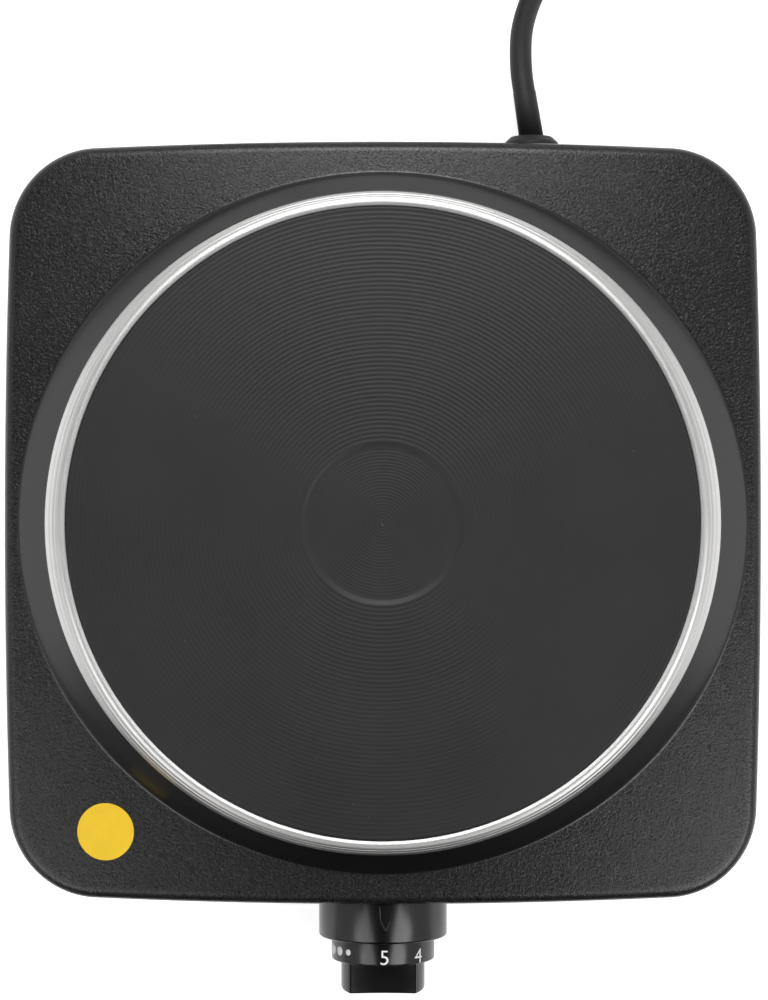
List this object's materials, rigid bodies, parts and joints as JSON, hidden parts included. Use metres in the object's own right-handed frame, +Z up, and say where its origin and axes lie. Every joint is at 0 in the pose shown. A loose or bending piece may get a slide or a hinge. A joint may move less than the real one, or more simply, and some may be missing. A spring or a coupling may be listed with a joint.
{
  "type": "electric hot plate",
  "caption": "Single electric hot plate: round cast-iron cooking plate in a steel spill ring on a black square housing, with a turning heat knob, rubber feet and a mains lead.",
  "frame": {"origin": "middle of the hot plate's footprint on the table, knob included and mains lead left out", "axes": "+Z up, knob at the front towards -Y, +X to the right seen from the front"},
  "size_m": [0.227, 0.4083, 0.068],
  "materials": {
    "powder_coat": "fine wrinkle powder coat, satin",
    "zinc_steel": "zinc-plated sheet",
    "foot_rubber": "matte",
    "screw_steel": "plated",
    "ring_steel": "bright stainless with fine circular lines",
    "plate_iron": "turned rings under a dark heat-proof coat",
    "mineral_fill": "pressed mineral, matte",
    "coil_wire": "oxidised wire",
    "steatite": "unglazed",
    "brass_parts": "plain",
    "bimetal": "rolled",
    "spring_bronze": "rolled",
    "contact_silver": "bright",
    "knob_plastic": "glossy black with turned skirt and white marks",
    "lamp_red": "clear red",
    "lamp_white": "plain",
    "cord_rubber": "satin rubber",
    "wire_brown": "silicone",
    "wire_blue": "silicone",
    "wire_white": "glass-fibre sleeve",
    "wire_green": "silicone",
    "tie_plastic": "plain",
    "pin_nickel": "nickel",
    "patch_yellow": "plain film"
  },
  "bodies": {
    "stove": {"housing": "powder_coat", "base_plate": "zinc_steel", "corner_brackets": "zinc_steel", "feet": "foot_rubber", "foot_screws": "screw_steel", "spill_ring": "ring_steel", "hob_plate": "plate_iron", "insulation_rings": "mineral_fill", "heating_coils": "coil_wire", "plate_cover": "zinc_steel", "center_stud": "screw_steel", "clamp_bridge": "zinc_steel", "clamp_washer": "screw_steel", "clamp_nut": "screw_steel", "terminal_block": "steatite", "terminal_screws": "brass_parts", "thermal_cutout": "steatite", "cutout_screws": "screw_steel", "thermostat_frame": "zinc_steel", "bush_nut": "screw_steel", "stack_ceramics": "steatite", "stack_rivet": "screw_steel", "bimetal_strip": "bimetal", "contact_springs": "spring_bronze", "contact_rivets": "contact_silver", "knob_bezel": "knob_plastic", "pilot_lamp_lens": "lamp_red", "pilot_lamp_body": "lamp_white", "cord_bushing": "cord_rubber", "cord_tail": "cord_rubber", "cord_clamp": "lamp_white", "clamp_screws": "screw_steel", "earth_screw": "brass_parts", "wire_live": "wire_brown", "wire_neutral": "wire_blue", "wire_load": "wire_white", "wire_earth": "wire_green", "wire_lamp": "wire_white", "power_cord": "cord_rubber", "cord_coil": "cord_rubber", "cord_end": "cord_rubber", "cord_tie": "tie_plastic", "plug_body": "cord_rubber", "plug_pins": "pin_nickel", "plain_patch": "patch_yellow"},
    "heat_knob": {"knob": "knob_plastic", "knob_spring_clip": "screw_steel", "control_shaft": "screw_steel"},
    "adjuster": {"adjuster_pin": "steatite"}
  },
  "joints": [
    {"name": "knob_turn", "type": "hinge", "parent": "stove", "child": "heat_knob", "pos_m": [0, -0.1, 0.031], "axis": [0, 1, 0], "range_deg": [-205, 78]},
    {"name": "adjuster_slide", "type": "slide", "parent": "stove", "child": "adjuster", "axis": [0, 1, 0], "range_m": [-0.0005, 0.0002]}
  ],
  "couplings": [
    {"joint": "adjuster_slide", "follows": "knob_turn", "m_per_rad": 0.000127}
  ]
}
